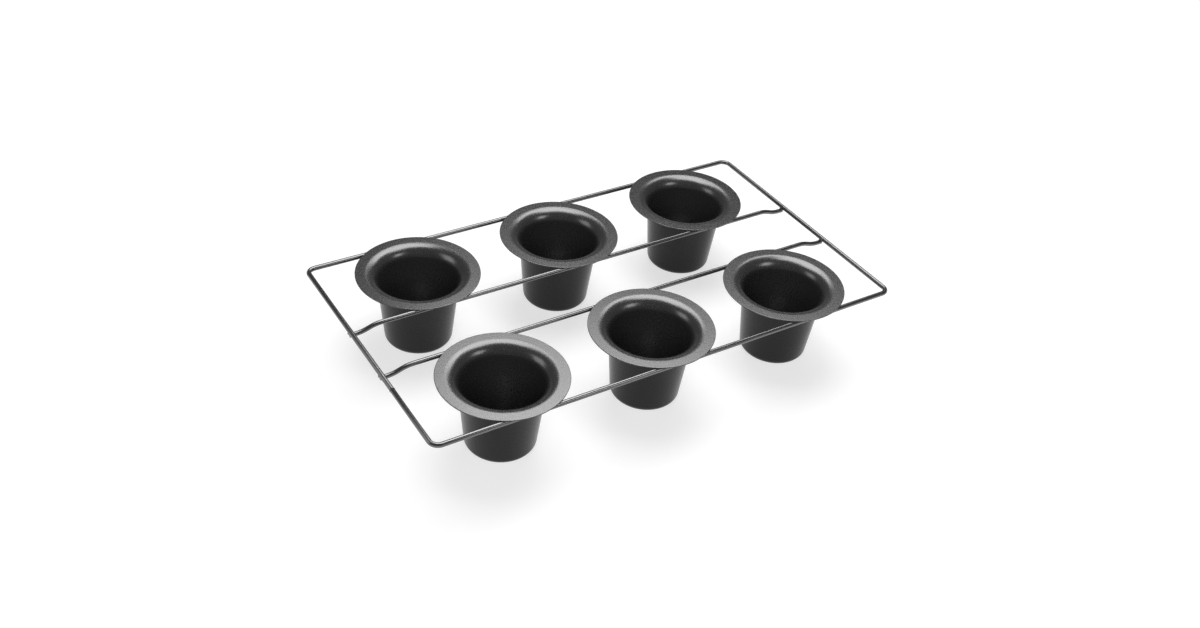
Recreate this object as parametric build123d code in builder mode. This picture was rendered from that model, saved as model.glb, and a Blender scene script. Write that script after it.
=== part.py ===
from build123d import *
import os

# Popover pan: six drawn steel cups hung by their brims in a welded wire rack.
# Millimetres. The cups stand on z = 0 and the origin is the middle of the pan.
# X runs along the pan and Y across it. The two sides are mirror images.

# Rack: one bent wire loop, measured over the outside of the wire
frame_length = 400.0
frame_width = 223.5
frame_wire = 3.8
corner_bend = 6.5  # radius of the wire's centre line at the four corners

# Two long wires inside the loop, with ends cranked down under the end bars
inner_wire = 3.6
end_setback = 1.4  # cut ends stay this far inside the loop's outer face
crank_setback = 8.4  # foot of the crank, in from the end bar's centre line
crank_run = 11.9  # length of the slope, measured along X
crank_bend = 14.0  # radius of both bends of the crank

# Cups, measured outside the sheet
cup_height = 61.8
rim_diameter = 95.6
brim_width = 15.5  # rim in to where the line of the wall meets the brim's underside
wall_taper = 6.2  # the line of the wall comes in by this from the brim to the base
sheet = 0.9
throat_bend = 9.1
base_bend = 5.8
edge_round = 0.3  # coated cut edge of the brim
rim_gap_share = 0.266  # of the free length, what lies between the rims of two cups
rail_inset = 6.15  # rim to the centre line of the wire under the brim

# Welds
weld_gap = 0.2  # metal left between two welded pieces
spot_diameter = 3.0
spot_spacing = 28.0  # along the wire, the two spots on one side of a cup
crossing_diameter = 3.8
seam_distance = 19.45  # butt weld in the left end bar, from the front inner wire
seam_gap = 0.4
seam_width = 2.4
seam_height = 0.35  # bead above the wire's surface

# Sides of the middle planes, and steps along a row
rows = {"front": -1, "back": 1}
ends = {"left": -1, "right": 1}
columns = {"left": -1, "middle": 0, "right": 1}

# Places that follow from the sizes
mouth_radius = rim_diameter / 2 - brim_width
base_radius = mouth_radius - wall_taper
brim_underside = cup_height - sheet
frame_z = brim_underside - weld_gap - frame_wire / 2
inner_z = brim_underside - weld_gap - inner_wire / 2
crank_z = frame_z - frame_wire / 2 - weld_gap - inner_wire / 2
end_bar_x = (frame_length - frame_wire) / 2
side_rail_y = (frame_width - frame_wire) / 2
rail_offset = rim_diameter / 2 - rail_inset  # wire to the cup's axis
row_y = side_rail_y - rail_offset
inner_y = row_y - rail_offset
seam_y = -inner_y - seam_distance
free_length = 2 * end_bar_x - len(columns) * rim_diameter
cup_pitch = rim_diameter + rim_gap_share * free_length
wire_end_x = frame_length / 2 - end_setback
crank_foot_x = end_bar_x - crank_setback
crank_top_x = crank_foot_x - crank_run

os.makedirs("parts", exist_ok=True)


def save(piece, name):
    """Names a finished piece and writes its file."""
    piece.part.label = name
    export_step(piece.part, f"parts/{name}.step")


# Outer frame: the wire leaves the butt weld, goes round and comes back to it
with BuildPart() as outer_frame:
    with BuildLine(Plane.XY.offset(frame_z)) as loop:
        FilletPolyline(
            (-end_bar_x, seam_y + seam_gap / 2),
            (-end_bar_x, side_rail_y),
            (end_bar_x, side_rail_y),
            (end_bar_x, -side_rail_y),
            (-end_bar_x, -side_rail_y),
            (-end_bar_x, seam_y - seam_gap / 2),
            radius=corner_bend,
        )
    with BuildSketch(Plane(origin=loop.line @ 0, z_dir=loop.line % 0)):
        Circle(frame_wire / 2)
    sweep(path=loop.line)
save(outer_frame, "outer_frame")

# Butt weld: a core between the two wire ends and a low bead around them
with BuildPart() as frame_butt_weld:
    with BuildSketch(Plane((-end_bar_x, seam_y, frame_z), x_dir=(0, 1, 0), z_dir=(1, 0, 0))):
        with BuildLine():
            ThreePointArc(
                (-seam_width / 2, frame_wire / 2),
                (0, frame_wire / 2 + seam_height),
                (seam_width / 2, frame_wire / 2),
            )
            Polyline(
                (seam_width / 2, frame_wire / 2),
                (seam_gap / 2, frame_wire / 2),
                (seam_gap / 2, 0),
                (-seam_gap / 2, 0),
                (-seam_gap / 2, frame_wire / 2),
                (-seam_width / 2, frame_wire / 2),
            )
        make_face()
    revolve(axis=Axis((-end_bar_x, seam_y, frame_z), (0, 1, 0)))
save(frame_butt_weld, "frame_butt_weld")

# Inner wires: level under the brims, cranked down to pass beneath the end bars
for row, side in rows.items():
    with BuildPart() as wire:
        with BuildLine(Plane.XZ.offset(-side * inner_y)) as route:
            FilletPolyline(
                (-wire_end_x, crank_z),
                (-crank_foot_x, crank_z),
                (-crank_top_x, inner_z),
                (crank_top_x, inner_z),
                (crank_foot_x, crank_z),
                (wire_end_x, crank_z),
                radius=crank_bend,
            )
        with BuildSketch(Plane(origin=route.line @ 0, z_dir=route.line % 0)):
            Circle(inner_wire / 2)
        sweep(path=route.line)
    save(wire, f"inner_wire_{row}")

# Crossing welds: a bead squeezed between an end bar and the wire beneath it
crossing_z = frame_z - frame_wire / 2 - weld_gap / 2
for row, side in rows.items():
    for end, hand in ends.items():
        x, y = hand * end_bar_x, side * inner_y
        with BuildPart() as bead:
            with Locations((x, y, crossing_z)):
                Sphere(crossing_diameter / 2)
            with Locations((x, y, frame_z)):
                Cylinder(frame_wire / 2, crossing_diameter, rotation=(90, 0, 0), mode=Mode.SUBTRACT)
            with Locations((x, y, crank_z)):
                Cylinder(inner_wire / 2, crossing_diameter, rotation=(0, 90, 0), mode=Mode.SUBTRACT)
        save(bead, f"crossing_weld_{row}_{end}")

# Cups: the outside line of the sheet, thickened inwards and turned about the axis
for row, side in rows.items():
    for column, step in columns.items():
        x, y = step * cup_pitch, side * row_y
        with BuildPart() as cup:
            with BuildSketch(Plane((x, y, 0), x_dir=(1, 0, 0), z_dir=(0, -1, 0))):
                with BuildLine():
                    FilletPolyline(
                        (0, 0),
                        (base_radius, 0),
                        (mouth_radius, brim_underside),
                        (rim_diameter / 2, brim_underside),
                        radius=[base_bend, throat_bend],
                    )
                    offset(amount=sheet, side=Side.LEFT)
                make_face()
            revolve(axis=Axis((x, y, 0), (0, 0, 1)))
            cut_edges = cup.edges().filter_by(GeomType.CIRCLE).sort_by(SortBy.RADIUS)[-2:]
            fillet(cut_edges, edge_round)
        save(cup, f"cup_{row}_{column}")

# Spot welds: plugs of metal between the flat brim and the tops of the wires under it
rails = [(side_rail_y, frame_z, frame_wire), (inner_y, inner_z, inner_wire)]
for row, side in rows.items():
    for column, step in columns.items():
        x = step * cup_pitch
        with BuildPart() as spots:
            for wire_y, wire_z, wire_size in rails:
                with BuildSketch(Plane((x, side * wire_y, brim_underside))):
                    with GridLocations(spot_spacing, 0, 2, 1):
                        Circle(spot_diameter / 2)
                extrude(amount=wire_z - brim_underside)
                with Locations((x, side * wire_y, wire_z)):
                    Cylinder(wire_size / 2, rim_diameter, rotation=(0, 90, 0), mode=Mode.SUBTRACT)
        save(spots, f"cup_welds_{row}_{column}")
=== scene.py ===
import math

import bmesh
import bpy
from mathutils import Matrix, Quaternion, Vector


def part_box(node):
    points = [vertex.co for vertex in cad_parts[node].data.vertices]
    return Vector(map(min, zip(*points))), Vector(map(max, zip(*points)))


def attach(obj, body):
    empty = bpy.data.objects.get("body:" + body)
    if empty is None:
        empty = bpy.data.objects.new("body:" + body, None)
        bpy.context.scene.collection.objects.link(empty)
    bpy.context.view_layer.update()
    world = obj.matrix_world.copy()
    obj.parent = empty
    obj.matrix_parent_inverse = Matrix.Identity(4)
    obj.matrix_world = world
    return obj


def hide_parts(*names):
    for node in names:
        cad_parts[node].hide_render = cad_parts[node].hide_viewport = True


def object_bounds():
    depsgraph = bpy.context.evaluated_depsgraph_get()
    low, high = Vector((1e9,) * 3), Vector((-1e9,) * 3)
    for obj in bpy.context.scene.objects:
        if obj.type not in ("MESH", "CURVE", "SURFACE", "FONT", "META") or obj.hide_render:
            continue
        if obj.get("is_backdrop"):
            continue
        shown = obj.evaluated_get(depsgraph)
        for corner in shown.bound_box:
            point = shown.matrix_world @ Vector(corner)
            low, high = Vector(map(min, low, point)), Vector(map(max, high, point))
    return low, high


# Popover pan: six drawn cups with wide brims, welded into a rack of bent wire.
# Metres throughout. Z is up and the cups stand on z = 0.

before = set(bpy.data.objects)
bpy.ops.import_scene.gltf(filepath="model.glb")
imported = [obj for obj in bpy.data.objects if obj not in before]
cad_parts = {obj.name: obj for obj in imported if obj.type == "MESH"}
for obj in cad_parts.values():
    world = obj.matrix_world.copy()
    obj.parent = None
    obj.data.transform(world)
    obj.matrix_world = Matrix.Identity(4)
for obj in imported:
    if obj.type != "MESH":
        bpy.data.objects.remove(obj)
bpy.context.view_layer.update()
scene = bpy.context.scene
millimetre = 0.001
mergeDistance = 0.002 * millimetre

rows = ("front", "back")
columns = ("left", "middle", "right")
ends = {"left": -1, "right": 1}


# Small helpers

def linearColor(hexCode):
    # sRGB hex to the linear values that the shaders take
    channels = [int(hexCode[i:i + 2], 16) / 255 for i in (1, 3, 5)]
    return [c / 12.92 if c <= 0.04045 else ((c + 0.055) / 1.055) ** 2.4 for c in channels] + [1.0]


def addNode(tree, kind, inputs=None, links=None, **settings):
    # inputs are fixed values and links are other nodes' sockets, both keyed by name or number
    node = tree.nodes.new(kind)
    for name, value in settings.items():
        setattr(node, name, value)
    for key, value in (inputs or {}).items():
        node.inputs[key].default_value = value
    for key, source in (links or {}).items():
        tree.links.new(source, node.inputs[key])
    return node


def newMaterial(name):
    material = bpy.data.materials.new(name)
    material.use_nodes = True
    material.node_tree.nodes.clear()
    return material, material.node_tree


def newPiece(name, mesh, material):
    piece = bpy.data.objects.new(name, mesh)
    scene.collection.objects.link(piece)
    mesh.materials.clear()
    mesh.materials.append(material)
    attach(piece, "root")
    return piece


def closeShape(mesh):
    # one skin: doubles merged, then every face turned outwards and shaded smooth
    work = bmesh.new()
    work.from_mesh(mesh)
    bmesh.ops.remove_doubles(work, verts=work.verts, dist=mergeDistance)
    bmesh.ops.recalc_face_normals(work, faces=work.faces)
    for face in work.faces:
        face.smooth = True
    work.to_mesh(mesh)
    work.free()


# Materials

coating = {
    "insideColor": "#242425",  # brim and inside
    "insideFleck": "#303031",
    "insideIor": 1.9,  # plain PTFE has 1.35; flakes in the film lift its reflection
    "outsideColor": "#111112",  # walls and underside: the same film in a darker colour, painted shade on the outer walls
    "outsideFleck": "#1a1a1b",
    "outsideIor": 1.36,
    "roughness": 0.26,
    "roughnessSwing": 0.035,
    "fleckSize": 0.9 * millimetre,  # sprayed droplets of 0.1 to 0.3 mm, drawn coarser to show
    "fleckDetail": 3.0,
    "fleckContrast": 0.6,
    "fleckRange": (0.3, 0.7),  # what the noise mostly gives
    "fleckHeight": 0.0045 * millimetre,
    "peelSize": 2.4 * millimetre,  # slow waves of the baked film
    "peelDetail": 1.0,
    "peelHeight": 0.012 * millimetre,
}

wireCoating = {
    "color": "#202021",
    "fleckColor": "#2b2b2c",
    "roughness": 0.21,
    "ior": 2.2,  # flakes again, matched to how brightly the wires catch the lamps
    "fleckSize": 0.7 * millimetre,
    "fleckDetail": 2.0,
    "fleckHeight": 0.006 * millimetre,
    "weldFleckHeight": 0.03 * millimetre,  # weld metal stays grainy under the film
}


def makeCoatedSheet():
    # PTFE-type non-stick film, sprayed on drawn steel and baked: satin, with a fine speckle that
    # breaks up the edges of a reflection; charcoal inside, and a darker copy outside that is
    # painted shade
    material, tree = newMaterial("non-stick coated drawn steel")
    place = addNode(tree, "ShaderNodeTexCoord").outputs["Object"]
    inside = addNode(tree, "ShaderNodeAttribute", attribute_type="GEOMETRY",
                     attribute_name="inside").outputs["Fac"]
    fleck = addNode(tree, "ShaderNodeTexNoise",
                    {"Scale": 1 / coating["fleckSize"], "Detail": coating["fleckDetail"],
                     "Roughness": coating["fleckContrast"]},
                    {"Vector": place}).outputs["Fac"]
    peel = addNode(tree, "ShaderNodeTexNoise",
                   {"Scale": 1 / coating["peelSize"], "Detail": coating["peelDetail"]},
                   {"Vector": place}).outputs["Fac"]
    tones = {}
    for side in ("outside", "inside"):
        colors = {"A": linearColor(coating[side + "Color"]),
                  "B": linearColor(coating[side + "Fleck"])}
        tones[side] = addNode(tree, "ShaderNodeMix", colors, {"Factor": fleck},
                              data_type="RGBA").outputs["Result"]
    # the outside faces get the darker tones, painted shade on the walls and underside
    tone = addNode(tree, "ShaderNodeMix",
                   links={"A": tones["outside"], "B": tones["inside"], "Factor": inside},
                   data_type="RGBA")
    ior = addNode(tree, "ShaderNodeMapRange",
                  {"To Min": coating["outsideIor"], "To Max": coating["insideIor"]},
                  {"Value": inside})
    gloss = addNode(tree, "ShaderNodeMapRange",
                    {"From Min": coating["fleckRange"][0], "From Max": coating["fleckRange"][1],
                     "To Min": coating["roughness"] - coating["roughnessSwing"],
                     "To Max": coating["roughness"] + coating["roughnessSwing"]},
                    {"Value": fleck})
    waves = addNode(tree, "ShaderNodeBump", {"Strength": 1.0, "Distance": coating["peelHeight"]},
                    {"Height": peel})
    grit = addNode(tree, "ShaderNodeBump", {"Strength": 1.0, "Distance": coating["fleckHeight"]},
                   {"Height": fleck, "Normal": waves.outputs["Normal"]})
    surface = addNode(tree, "ShaderNodeBsdfPrincipled",
                      links={"Base Color": tone.outputs["Result"],
                             "Roughness": gloss.outputs["Result"],
                             "IOR": ior.outputs["Result"], "Normal": grit.outputs["Normal"]})
    addNode(tree, "ShaderNodeOutputMaterial", links={"Surface": surface.outputs["BSDF"]})
    return material


def makeCoatedWire(name, fleckHeight):
    # the same film on drawn round wire: it pools smoother, so highlights run as thin lines
    material, tree = newMaterial(name)
    place = addNode(tree, "ShaderNodeTexCoord").outputs["Object"]
    fleck = addNode(tree, "ShaderNodeTexNoise",
                    {"Scale": 1 / wireCoating["fleckSize"], "Detail": wireCoating["fleckDetail"]},
                    {"Vector": place}).outputs["Fac"]
    colors = {"A": linearColor(wireCoating["color"]), "B": linearColor(wireCoating["fleckColor"])}
    tone = addNode(tree, "ShaderNodeMix", colors, {"Factor": fleck}, data_type="RGBA")
    grit = addNode(tree, "ShaderNodeBump", {"Strength": 1.0, "Distance": fleckHeight},
                   {"Height": fleck})
    surface = addNode(tree, "ShaderNodeBsdfPrincipled",
                      {"Roughness": wireCoating["roughness"], "IOR": wireCoating["ior"]},
                      {"Base Color": tone.outputs["Result"], "Normal": grit.outputs["Normal"]})
    addNode(tree, "ShaderNodeOutputMaterial", links={"Surface": surface.outputs["BSDF"]})
    return material


coatedSheet = makeCoatedSheet()
coatedWire = makeCoatedWire("non-stick coated steel wire", wireCoating["fleckHeight"])
coatedWeld = makeCoatedWire("non-stick coated weld metal", wireCoating["weldFleckHeight"])
print("materials made")


# Cups: the section of the drawn sheet, turned about each cup's axis

cupShape = {
    "sheet": 0.9 * millimetre,
    "mouthRadius": 32.3 * millimetre,  # where the line of the wall meets the brim's underside
    "baseRadius": 26.1 * millimetre,  # where the line of the wall meets the base
    "throatBend": 9.1 * millimetre,
    "baseBend": 5.8 * millimetre,
    "edgeRound": 0.3 * millimetre,
    "segments": 180,
    "throatSteps": 28,
    "baseSteps": 14,
    "edgeSteps": 4,
    "longestStep": 1.5 * millimetre,  # a longer step of the outline is a straight run
    "hold": 0.2 * millimetre,  # from each end of a straight run to the point that holds it
}


def roundCorner(before, corner, after, radius, steps):
    # points along the arc that rounds one corner of an outline
    inward, outward = (before - corner).normalized(), (after - corner).normalized()
    half = math.acos(max(-1.0, min(1.0, inward.dot(outward)))) / 2
    start = corner + inward * radius / math.tan(half)
    centre = corner + (inward + outward).normalized() * radius / math.sin(half)
    first = start - centre
    sweep = math.pi - 2 * half
    turn = -1 if inward.x * outward.y - inward.y * outward.x > 0 else 1
    points = []
    for step in range(steps + 1):
        angle = turn * sweep * step / steps
        points.append(centre + Vector((first.x * math.cos(angle) - first.y * math.sin(angle),
                                       first.x * math.sin(angle) + first.y * math.cos(angle))))
    return points


def heldRuns(points):
    # a point close to each end of a straight run keeps the smooth shading of its bends off it
    held = [points[0]]
    for before, after in zip(points, points[1:]):
        run = after - before
        if run.length > cupShape["longestStep"]:
            inset = run.normalized() * cupShape["hold"]
            held += [before + inset, after - inset]
        held.append(after)
    return held


def cupSection(height, rimRadius):
    # the sheet from the bottom pole up the outside to the rim, and from there down the inside
    sheet = cupShape["sheet"]
    under = height - sheet
    base = Vector((cupShape["baseRadius"], 0))
    mouth = Vector((cupShape["mouthRadius"], under))
    along = (mouth - base).normalized()
    aside = Vector((-along.y, along.x)) * sheet  # from the outside of the wall to its inside
    insideBase = base + aside + along * (sheet - aside.y) / along.y
    insideMouth = base + aside + along * (height - aside.y) / along.y
    rimUnder, rimTop = Vector((rimRadius, under)), Vector((rimRadius, height))
    axisUnder, axisTop = Vector((0, 0)), Vector((0, sheet))
    edge, edgeSteps = cupShape["edgeRound"], cupShape["edgeSteps"]
    throat, throatSteps = cupShape["throatBend"], cupShape["throatSteps"]
    foot, footSteps = cupShape["baseBend"], cupShape["baseSteps"]
    outside = [axisUnder]
    outside += roundCorner(axisUnder, base, mouth, foot, footSteps)
    outside += roundCorner(base, mouth, rimUnder, throat, throatSteps)
    outside += roundCorner(mouth, rimUnder, rimTop, edge, edgeSteps)
    inside = roundCorner(rimUnder, rimTop, insideMouth, edge, edgeSteps)
    inside += roundCorner(rimTop, insideMouth, insideBase, throat + sheet, throatSteps)
    inside += roundCorner(insideMouth, insideBase, axisTop, foot - sheet, footSteps)
    inside.append(axisTop)
    return heldRuns(outside), heldRuns(inside)


def turnedMesh(name, outside, inside, centre, segments):
    # both lines, in radius and height, turned about an upright axis; their far ends are poles
    vertices, faces, rings = [], [], []
    for point in outside + inside:
        if point.x < mergeDistance:
            rings.append([len(vertices)])
            vertices.append((centre.x, centre.y, point.y))
            continue
        rings.append(list(range(len(vertices), len(vertices) + segments)))
        for step in range(segments):
            angle = 2 * math.pi * step / segments
            vertices.append((centre.x + point.x * math.cos(angle),
                             centre.y + point.x * math.sin(angle), point.y))
    for low, high in zip(rings, rings[1:]):
        for step in range(segments):
            after = (step + 1) % segments
            if len(low) == 1:
                faces.append((low[0], high[after], high[step]))
            elif len(high) == 1:
                faces.append((low[step], low[after], high[0]))
            else:
                faces.append((low[step], low[after], high[after], high[step]))
    mesh = bpy.data.meshes.new(name)
    mesh.from_pydata(vertices, [], faces)
    firstInside = rings[len(outside)][0]
    layer = mesh.attributes.new("inside", "FLOAT", "POINT")
    layer.data.foreach_set("value", [float(i >= firstInside) for i in range(len(vertices))])
    closeShape(mesh)
    return mesh


for row in rows:
    for column in columns:
        node = f"cup_{row}_{column}"
        low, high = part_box(node)
        centre = Vector(((low[0] + high[0]) / 2, (low[1] + high[1]) / 2))
        outside, inside = cupSection(high[2], (high[1] - low[1]) / 2)
        name = f"{row}{column.title()}Cup"
        mesh = turnedMesh(name, outside, inside, centre, cupShape["segments"])
        cup = newPiece(name, mesh, coatedSheet)
        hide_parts(node)
print("cups made")


# Wires: Geometry Nodes rounds each bend of a route and runs the round section along it

wireShape = {
    "frameRadius": 1.9 * millimetre,
    "innerRadius": 1.8 * millimetre,
    "cornerBend": 6.5 * millimetre,
    "cornerSteps": 16,
    "crankBend": 28.0 * millimetre,  # softer than the solid's, within about 0.2 mm of its line
    "crankSteps": 12,
    "crankSetback": 8.4 * millimetre,  # foot of the crank, in from the end bar
    "crankRun": 11.9 * millimetre,  # length of the slope along X
    "seamOffset": 46.0 * millimetre,  # butt weld, from the middle towards the front
    "seamGap": 0.4 * millimetre,
    "endRound": 0.35 * millimetre,
    "endShares": (0.0, 0.12, 0.35, 0.65, 1.0),  # points along the rounding of a cut end
    "sides": 28,
}

# what each point of a route carries beside its place
routeFields = (("bendRadius", "FLOAT"), ("bendSteps", "INT"), ("thickness", "FLOAT"))
noBend = (0.0, 1)
fullThickness = 1.0


def addSocket(tree, name, kind, direction="INPUT"):
    return tree.interface.new_socket(name=name, in_out=direction, socket_type=kind).identifier


def wireTree():
    tree = bpy.data.node_groups.new("wire along route", "GeometryNodeTree")
    addSocket(tree, "Route", "NodeSocketGeometry")
    keys = {
        "radius": addSocket(tree, "Wire Radius", "NodeSocketFloat"),
        "sides": addSocket(tree, "Sides", "NodeSocketInt"),
        "material": addSocket(tree, "Material", "NodeSocketMaterial"),
    }
    addSocket(tree, "Wire", "NodeSocketGeometry", "OUTPUT")
    given = addNode(tree, "NodeGroupInput").outputs
    read = {}
    for field, kind in routeFields:
        read[field] = addNode(tree, "GeometryNodeInputNamedAttribute", {"Name": field},
                              data_type=kind).outputs["Attribute"]
    route = addNode(tree, "GeometryNodeMeshToCurve", links={"Mesh": given["Route"]})
    rounded = addNode(tree, "GeometryNodeFilletCurve",
                      links={"Curve": route.outputs["Curve"], "Radius": read["bendRadius"],
                             "Count": read["bendSteps"]}, mode="POLY")
    size = addNode(tree, "ShaderNodeMath", links={0: read["thickness"], 1: given["Wire Radius"]},
                   operation="MULTIPLY")
    ring = addNode(tree, "GeometryNodeCurvePrimitiveCircle", {"Radius": 1.0},
                   {"Resolution": given["Sides"]})
    tube = addNode(tree, "GeometryNodeCurveToMesh", {"Fill Caps": True},
                   {"Curve": rounded.outputs["Curve"], "Profile Curve": ring.outputs["Curve"],
                    "Scale": size.outputs["Value"]})
    real = addNode(tree, "GeometryNodeRealizeInstances", links={"Geometry": tube.outputs["Mesh"]})
    coated = addNode(tree, "GeometryNodeSetMaterial",
                     links={"Geometry": real.outputs["Geometry"], "Material": given["Material"]})
    addNode(tree, "NodeGroupOutput", links={"Wire": coated.outputs["Geometry"]})
    return tree, keys


def grownMesh(name, mesh, tree, values):
    # runs a node tree on a mesh and returns the result as a plain mesh
    carrier = bpy.data.objects.new(name + "Carrier", mesh)
    scene.collection.objects.link(carrier)
    modifier = carrier.modifiers.new("grow", "NODES")
    modifier.node_group = tree
    for key, value in values.items():
        modifier[key] = value
    graph = bpy.context.evaluated_depsgraph_get()
    result = bpy.data.meshes.new_from_object(carrier.evaluated_get(graph))
    carrier.modifiers.remove(modifier)
    bpy.data.objects.remove(carrier)
    result.name = name
    closeShape(result)
    return result


def cutEnd(tip, beyond, wireRadius):
    # a few route points that round off a cut end, from its face inwards
    inward, endRound = (beyond - tip).normalized(), wireShape["endRound"]
    points = []
    for share in wireShape["endShares"]:
        rise = math.sqrt(1 - (1 - share) ** 2)
        thickness = 1 - endRound / wireRadius * (1 - rise)
        points.append((tip + inward * endRound * share, *noBend, thickness))
    return points


def routeMesh(name, corners, wireRadius):
    # corners are (point, bend radius, bend steps); the first and the last are cut ends
    points = cutEnd(corners[0][0], corners[1][0], wireRadius)
    points += [(*corner, fullThickness) for corner in corners[1:-1]]
    points += reversed(cutEnd(corners[-1][0], corners[-2][0], wireRadius))
    mesh = bpy.data.meshes.new(name)
    mesh.from_pydata([p[0] for p in points], [(i, i + 1) for i in range(len(points) - 1)], [])
    for index, (field, kind) in enumerate(routeFields, start=1):
        layer = mesh.attributes.new(field, kind, "POINT")
        layer.data.foreach_set("value", [p[index] for p in points])
    return mesh


wireNodes, wireKeys = wireTree()


def wirePiece(name, node, corners, wireRadius):
    mesh = grownMesh(name, routeMesh(name + "Route", corners, wireRadius), wireNodes,
                     {wireKeys["radius"]: wireRadius, wireKeys["sides"]: wireShape["sides"],
                      wireKeys["material"]: coatedWire})
    piece = newPiece(name, mesh, coatedWire)
    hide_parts(node)


frameLow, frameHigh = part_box("outer_frame")
endBar = frameHigh[0] - wireShape["frameRadius"]
sideRail = frameHigh[1] - wireShape["frameRadius"]
frameLevel = (frameLow[2] + frameHigh[2]) / 2
seam = -wireShape["seamOffset"]
cornerBend = (wireShape["cornerBend"], wireShape["cornerSteps"])
wirePiece("frameWire", "outer_frame", [
    (Vector((-endBar, seam + wireShape["seamGap"] / 2, frameLevel)), *noBend),
    (Vector((-endBar, sideRail, frameLevel)), *cornerBend),
    (Vector((endBar, sideRail, frameLevel)), *cornerBend),
    (Vector((endBar, -sideRail, frameLevel)), *cornerBend),
    (Vector((-endBar, -sideRail, frameLevel)), *cornerBend),
    (Vector((-endBar, seam - wireShape["seamGap"] / 2, frameLevel)), *noBend),
], wireShape["frameRadius"])

crankFoot = endBar - wireShape["crankSetback"]
crankTop = crankFoot - wireShape["crankRun"]
crankBend = (wireShape["crankBend"], wireShape["crankSteps"])
for row in rows:
    low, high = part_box(f"inner_wire_{row}")
    across = (low[1] + high[1]) / 2
    upper, lower = high[2] - wireShape["innerRadius"], low[2] + wireShape["innerRadius"]
    wirePiece(f"{row}InnerWire", f"inner_wire_{row}", [
        (Vector((-high[0], across, lower)), *noBend),
        (Vector((-crankFoot, across, lower)), *crankBend),
        (Vector((-crankTop, across, upper)), *crankBend),
        (Vector((crankTop, across, upper)), *crankBend),
        (Vector((crankFoot, across, lower)), *crankBend),
        (Vector((high[0], across, lower)), *noBend),
    ], wireShape["innerRadius"])
print("wires made")


# Welds: Geometry Nodes sets a lumpy bead on each weld point

weldShape = {
    "gap": 0.2 * millimetre,  # metal between two welded pieces
    "spotSpacing": 28.0 * millimetre,
    "spotSize": (1.9 * millimetre, 1.5 * millimetre, 0.75 * millimetre),  # half sizes
    "spotSink": 0.2 * millimetre,  # middle of a spot below the brim's underside
    "crossingSize": (1.95 * millimetre, 1.95 * millimetre, 1.2 * millimetre),
    "buttSize": (2.25 * millimetre, 1.35 * millimetre, 2.25 * millimetre),
    "lumpDepth": 0.16 * millimetre,  # lumps only sink in, so a bead keeps inside its half sizes
    "lumpSize": 1.6 * millimetre,
    "lumpDetail": 1.0,
    "subdivisions": 4,
    "seed": 7.0,
}


def beadTree():
    tree = bpy.data.node_groups.new("bead on each point", "GeometryNodeTree")
    addSocket(tree, "Points", "NodeSocketGeometry")
    keys = {
        "offset": addSocket(tree, "Lump Offset", "NodeSocketFloat"),
        "scale": addSocket(tree, "Lump Scale", "NodeSocketFloat"),
        "seed": addSocket(tree, "Seed", "NodeSocketFloat"),
        "material": addSocket(tree, "Material", "NodeSocketMaterial"),
    }
    addSocket(tree, "Beads", "NodeSocketGeometry", "OUTPUT")
    given = addNode(tree, "NodeGroupInput").outputs
    size = addNode(tree, "GeometryNodeInputNamedAttribute", {"Name": "beadSize"},
                   data_type="FLOAT_VECTOR")
    ball = addNode(tree, "GeometryNodeMeshIcoSphere",
                   {"Radius": 1.0, "Subdivisions": weldShape["subdivisions"]})
    beads = addNode(tree, "GeometryNodeInstanceOnPoints",
                    links={"Points": given["Points"], "Instance": ball.outputs["Mesh"],
                           "Scale": size.outputs["Attribute"]})
    real = addNode(tree, "GeometryNodeRealizeInstances",
                   links={"Geometry": beads.outputs["Instances"]})
    lumps = addNode(tree, "ShaderNodeTexNoise", {"Detail": weldShape["lumpDetail"]},
                    {"Scale": given["Lump Scale"], "W": given["Seed"]}, noise_dimensions="4D")
    amount = addNode(tree, "ShaderNodeMath",
                     links={0: lumps.outputs["Fac"], 1: given["Lump Offset"]},
                     operation="MULTIPLY")
    normal = addNode(tree, "GeometryNodeInputNormal")
    shift = addNode(tree, "ShaderNodeVectorMath",
                    links={"Vector": normal.outputs["Normal"], "Scale": amount.outputs["Value"]},
                    operation="SCALE")
    shaped = addNode(tree, "GeometryNodeSetPosition",
                     links={"Geometry": real.outputs["Geometry"],
                            "Offset": shift.outputs["Vector"]})
    coated = addNode(tree, "GeometryNodeSetMaterial",
                     links={"Geometry": shaped.outputs["Geometry"], "Material": given["Material"]})
    addNode(tree, "NodeGroupOutput", links={"Beads": coated.outputs["Geometry"]})
    return tree, keys


beadNodes, beadKeys = beadTree()


def weldPiece(name, node, points, size):
    mesh = bpy.data.meshes.new(name + "Points")
    mesh.from_pydata(points, [], [])
    layer = mesh.attributes.new("beadSize", "FLOAT_VECTOR", "POINT")
    layer.data.foreach_set("vector", size * len(points))
    beads = grownMesh(name, mesh, beadNodes,
                      {beadKeys["offset"]: -weldShape["lumpDepth"],
                       beadKeys["scale"]: 1 / weldShape["lumpSize"],
                       beadKeys["seed"]: weldShape["seed"], beadKeys["material"]: coatedWeld})
    piece = newPiece(name, beads, coatedWeld)
    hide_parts(node)


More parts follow.
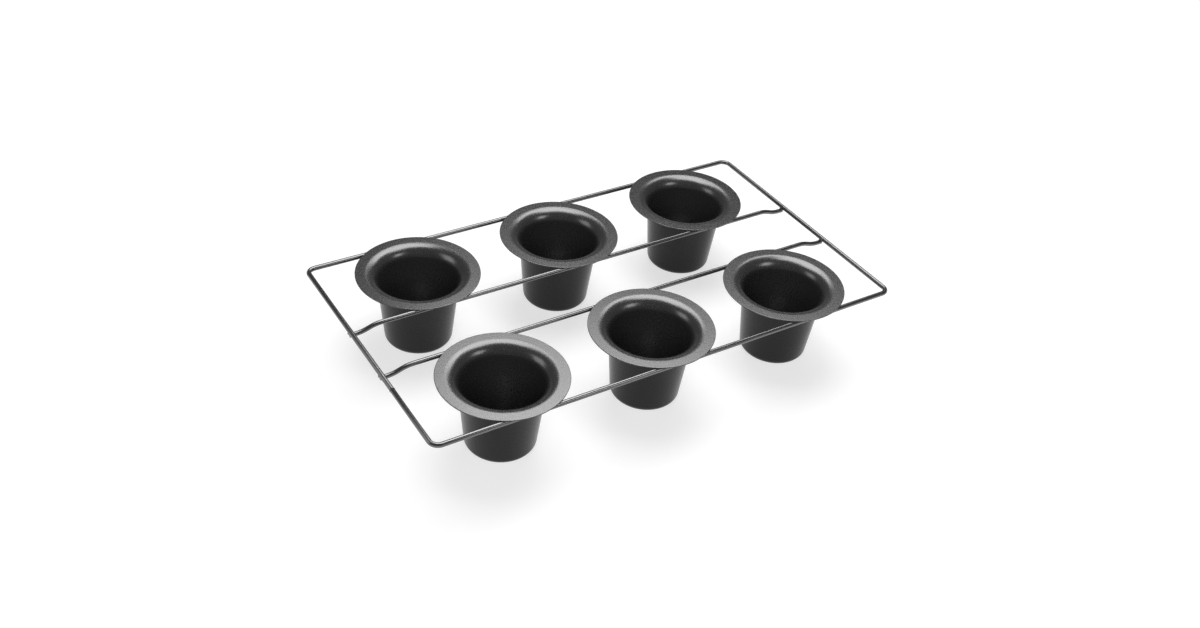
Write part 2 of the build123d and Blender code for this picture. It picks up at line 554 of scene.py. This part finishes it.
weldPiece("buttWeld", "frame_butt_weld", [(-endBar, seam, frameLevel)], weldShape["buttSize"])
crossingLevel = frameLevel - wireShape["frameRadius"] - weldShape["gap"] / 2
for row in rows:
    low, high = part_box(f"inner_wire_{row}")
    across = (low[1] + high[1]) / 2
    for end, hand in ends.items():
        weldPiece(f"{row}{end.title()}CrossingWeld", f"crossing_weld_{row}_{end}",
                  [(hand * endBar, across, crossingLevel)], weldShape["crossingSize"])
    rail = math.copysign(sideRail, across)
    for column in columns:
        low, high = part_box(f"cup_{row}_{column}")
        middle = (low[0] + high[0]) / 2
        level = high[2] - cupShape["sheet"] - weldShape["spotSink"]
        half = weldShape["spotSpacing"] / 2
        spots = [(middle + along, side, level)
                 for along in (-half, half) for side in (across, rail)]
        weldPiece(f"{row}{column.title()}CupWelds", f"cup_welds_{row}_{column}", spots,
                  weldShape["spotSize"])
print("welds made")


# Stage, lamps and camera

studio = {
    "worldGrey": 0.10,
    "ceiling": 0.08,  # brightness that reflections find above the white backdrop
    "backdropTop": (0, 6),  # degrees above level over which the backdrop fades into the ceiling
    "floorColor": "#b4b4b4",
    "floorGlow": 0.62,
    "farGlow": 0.97,  # beyond the lamps' pool of light
    "pool": (0.5, 1.8),  # metres from the middle, from the pool's full light to almost none
    "floorSize": 12.0,
}

# Softboxes face down at no tilt; a tilt of 90 would face them to +Y, and the turn is about Z.
# The side panels only draw highlights on wires and walls. The front fill only lifts the dark
# walls and leaves no glare on the brims.
softboxes = {
    "overhead": {"radiance": 5.4, "size": (0.66, 0.67), "place": (0.168, 0.260, 0.96),
                 "tilt": 0, "turn": -35},
    "farPanel": {"radiance": 4.8, "size": (0.88, 0.31), "place": (0.612, 0.645, 1.026),
                 "tilt": -46, "turn": -41},
    "leftPanel": {"radiance": 1.7, "size": (0.50, 0.50), "place": (-0.85, 0.38, 0.50),
                  "tilt": -65, "turn": 66, "inDiffuse": False},
    "rightPanel": {"radiance": 3.5, "size": (0.36, 0.36), "place": (0.364, -0.805, 0.66),
                   "tilt": 56, "turn": 24, "inDiffuse": False},
    "frontFill": {"radiance": 5.3, "size": (0.9, 0.7), "place": (-0.69, -0.98, 0.84),
                  "tilt": 57, "turn": -35, "inGloss": False},
}

view = {
    "place": (-0.4693, -0.6691, 0.6422),
    "heading": 35.064,  # degrees from +Y towards +X
    "tilt": 36.986,  # degrees below level
    "roll": 5.587,
    "lens": 38.835,
    "sensor": 36.0,
    "clip": (0.05, 50.0),
}


def makeWorld():
    # a white backdrop for the camera, the same backdrop under a dim ceiling for reflections, and
    # plain grey fill for the rest
    world = bpy.data.worlds.new("plain studio")
    world.use_nodes = True
    tree = world.node_tree
    tree.nodes.clear()
    ray = addNode(tree, "ShaderNodeLightPath").outputs
    direction = addNode(tree, "ShaderNodeTexCoord").outputs["Generated"]
    upward = addNode(tree, "ShaderNodeSeparateXYZ", links={"Vector": direction}).outputs["Z"]
    foot, top = [math.sin(math.radians(angle)) for angle in studio["backdropTop"]]
    backdrop = addNode(tree, "ShaderNodeMapRange",
                       {"From Min": foot, "From Max": top,
                        "To Min": 1.0, "To Max": studio["ceiling"]},
                       {"Value": upward})
    reflected = addNode(tree, "ShaderNodeMath",
                        links={0: ray["Is Glossy Ray"], 1: backdrop.outputs["Result"]},
                        operation="MULTIPLY")
    seen = addNode(tree, "ShaderNodeMath",
                   links={0: ray["Is Camera Ray"], 1: ray["Is Transmission Ray"]},
                   operation="MAXIMUM")
    clear = addNode(tree, "ShaderNodeMath", links={0: seen.outputs[0], 1: reflected.outputs[0]},
                    operation="MAXIMUM")
    strength = addNode(tree, "ShaderNodeMath", {1: studio["worldGrey"]}, {0: clear.outputs[0]},
                       operation="MAXIMUM")
    sky = addNode(tree, "ShaderNodeBackground", {"Color": (1, 1, 1, 1)},
                  {"Strength": strength.outputs[0]})
    addNode(tree, "ShaderNodeOutputWorld", links={"Surface": sky.outputs["Background"]})
    scene.world = world


def makeFloor():
    # matt white paper; the camera also sees a little glow, so that only the shadow stays grey, and
    # more of it where the lamps no longer reach
    material, tree = newMaterial("matt white paper")
    ray = addNode(tree, "ShaderNodeLightPath").outputs
    seen = addNode(tree, "ShaderNodeMath",
                   links={0: ray["Is Camera Ray"], 1: ray["Is Glossy Ray"]}, operation="MAXIMUM")
    place = addNode(tree, "ShaderNodeTexCoord").outputs["Object"]
    away = addNode(tree, "ShaderNodeVectorMath", links={0: place}, operation="LENGTH")
    amount = addNode(tree, "ShaderNodeMapRange",
                     {"From Min": studio["pool"][0], "From Max": studio["pool"][1],
                      "To Min": studio["floorGlow"], "To Max": studio["farGlow"]},
                     {"Value": away.outputs["Value"]})
    glow = addNode(tree, "ShaderNodeMath", links={0: seen.outputs[0], 1: amount.outputs["Result"]},
                   operation="MULTIPLY")
    paper = addNode(tree, "ShaderNodeBsdfDiffuse", {"Color": linearColor(studio["floorColor"])})
    light = addNode(tree, "ShaderNodeEmission", links={"Strength": glow.outputs[0]})
    both = addNode(tree, "ShaderNodeAddShader", links={0: paper.outputs[0], 1: light.outputs[0]})
    addNode(tree, "ShaderNodeOutputMaterial", links={"Surface": both.outputs[0]})
    half = studio["floorSize"] / 2
    corners = [(-half, -half, 0), (half, -half, 0), (half, half, 0), (-half, half, 0)]
    mesh = bpy.data.meshes.new("floor")
    mesh.from_pydata(corners, [], [(0, 1, 2, 3)])
    mesh.materials.append(material)
    floor = bpy.data.objects.new("floor", mesh)
    scene.collection.objects.link(floor)
    floor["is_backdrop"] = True


def makeSoftbox(name, box):
    lamp = bpy.data.lights.new(name, "AREA")
    lamp.shape = "RECTANGLE"
    lamp.size, lamp.size_y = box["size"]
    lamp.energy = box["radiance"] * math.pi * lamp.size * lamp.size_y
    carrier = bpy.data.objects.new(name, lamp)
    carrier.location = box["place"]
    carrier.rotation_euler = (math.radians(box["tilt"]), 0, math.radians(box["turn"]))
    carrier.visible_camera = False
    carrier.visible_diffuse = box.get("inDiffuse", True)
    carrier.visible_glossy = box.get("inGloss", True)
    scene.collection.objects.link(carrier)


def makeCamera():
    heading, tilt = math.radians(view["heading"]), math.radians(view["tilt"])
    forward = Vector((math.sin(heading) * math.cos(tilt), math.cos(heading) * math.cos(tilt),
                      -math.sin(tilt)))
    roll = Quaternion((0, 0, 1), math.radians(view["roll"]))
    data = bpy.data.cameras.new("camera")
    data.lens = view["lens"]
    data.sensor_width = view["sensor"]
    data.clip_start, data.clip_end = view["clip"]
    camera = bpy.data.objects.new("camera", data)
    camera.location = view["place"]
    camera.rotation_mode = "QUATERNION"
    camera.rotation_quaternion = forward.to_track_quat("-Z", "Y") @ roll
    scene.collection.objects.link(camera)
    scene.camera = camera


makeWorld()
makeFloor()
for name, box in softboxes.items():
    makeSoftbox(name, box)
makeCamera()
scene.view_settings.view_transform = "Standard"
print("studio made")

low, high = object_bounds()
